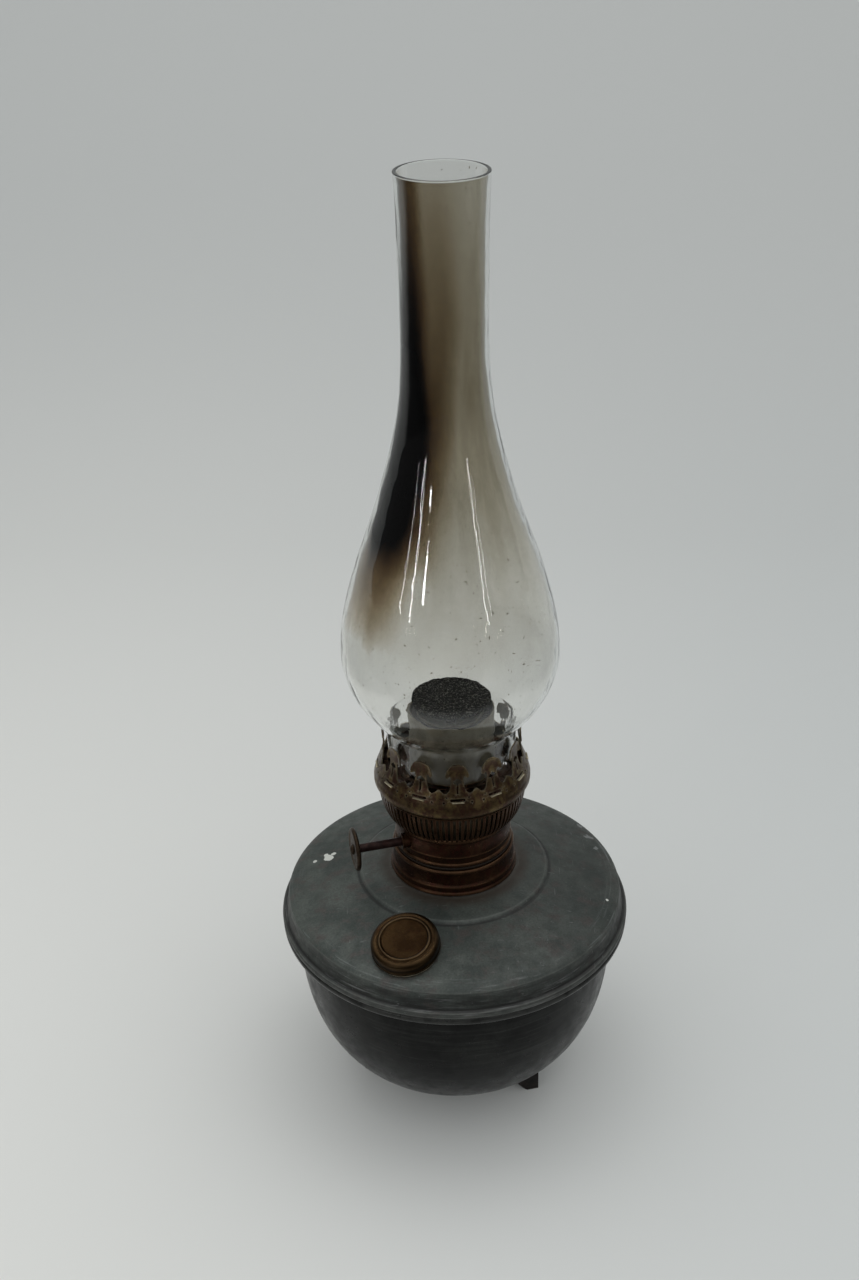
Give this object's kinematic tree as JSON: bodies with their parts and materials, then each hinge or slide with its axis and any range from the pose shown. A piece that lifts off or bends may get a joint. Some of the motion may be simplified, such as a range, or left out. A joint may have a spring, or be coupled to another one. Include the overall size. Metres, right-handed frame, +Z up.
{
  "type": "kerosene lamp",
  "caption": "Free-standing kerosene lamp: round zinc font on three feet, filler cap, brass burner with wick raiser, pierced crown, flame disc and bulbed glass chimney.",
  "frame": {"origin": "on the surface the lamp stands on, under the lamp's axis", "axes": "+Z up along the lamp's axis, -Y towards the filler cap at the front, +X to the right seen from the front"},
  "size_m": [0.1634, 0.1634, 0.4415],
  "materials": {
    "zinc_top": "dull weathered zinc, fine scratches and pale stains",
    "zinc_bowl": "dark weathered zinc with black patches",
    "iron_feet": "dark brown rusted iron sheet",
    "brown_brass": "dark brown tarnished brass",
    "gold_brass": "worn brass, golden on the edges and brown in the hollows",
    "cap_brass": "tan brass, rubbed bright on its raised ring",
    "knob_brass": "dull tan brass, brown round the rivet",
    "tube_brass": "grey-brown brass, dulled by heat",
    "brown_steel": "browned steel rod",
    "sooted_disc": "matt black, gritty with soot",
    "leather_seal": "dark oiled leather",
    "cotton_wick": "woven cotton, charred along the top",
    "chimney_glass": "clear glass, brown and black with soot inside on one side"
  },
  "bodies": {
    "font": {"font_bowl": "zinc_bowl", "font_top": "zinc_top", "foot_front": "iron_feet", "foot_back": "iron_feet", "foot_left": "iron_feet", "burner_collar": "brown_brass", "filler_neck": "gold_brass"},
    "cap_seal": {"filler_cap_washer": "leather_seal"},
    "filler_cap": {"filler_cap": "cap_brass"},
    "burner_seal": {"burner_seal": "leather_seal"},
    "burner": {"burner_base": "brown_brass", "burner_body": "brown_brass", "spindle_bush": "brown_brass", "gallery_basket": "brown_brass", "gallery_crown": "gold_brass", "chimney_ledge": "brown_brass", "outer_wick_tube": "tube_brass", "inner_wick_tube": "tube_brass", "stem_spider": "tube_brass"},
    "raiser": {"raiser_spindle": "brown_steel", "raiser_pinion": "gold_brass", "raiser_knob": "knob_brass", "knob_rivet": "knob_brass"},
    "wick": {"wick": "cotton_wick", "wick_carrier": "gold_brass", "wick_rack": "gold_brass"},
    "flame_disc": {"flame_disc": "sooted_disc", "disc_stem": "brown_steel"},
    "chimney": {"chimney_glass": "chimney_glass"}
  },
  "joints": [
    {"name": "cap_lift", "type": "slide", "parent": "font", "child": "cap_seal", "axis": [-0.0965, -0.2488, 0.9637], "range_m": [0, 0.025]},
    {"name": "cap_turn", "type": "hinge", "parent": "cap_seal", "child": "filler_cap", "pos_m": [-0.02162, -0.05575, 0.11522], "axis": [-0.0965, -0.2488, 0.9637], "range_deg": [0, 540]},
    {"name": "burner_lift", "type": "slide", "parent": "font", "child": "burner_seal", "axis": [0, 0, 1], "range_m": [0, 0.13]},
    {"name": "burner_turn", "type": "hinge", "parent": "burner_seal", "child": "burner", "pos_m": [0, 0, 0.137], "axis": [0, 0, 1], "range_deg": [0, 540]},
    {"name": "raiser_turn", "type": "hinge", "parent": "burner", "child": "raiser", "pos_m": [-0.0212, -0.0153, 0.1445], "axis": [0.9664, 0.2571, 0], "range_deg": [-228, 57]},
    {"name": "wick_raise", "type": "slide", "parent": "burner", "child": "wick", "axis": [0, 0, 1], "range_m": [-0.012, 0.003]},
    {"name": "disc_lift", "type": "slide", "parent": "burner", "child": "flame_disc", "axis": [0, 0, 1], "range_m": [0, 0.03]},
    {"name": "chimney_lift", "type": "slide", "parent": "burner", "child": "chimney", "axis": [0, 0, 1], "range_m": [0, 0.05]}
  ],
  "couplings": [
    {"joint": "wick_raise", "follows": "raiser_turn", "m_per_rad": 0.003}
  ]
}
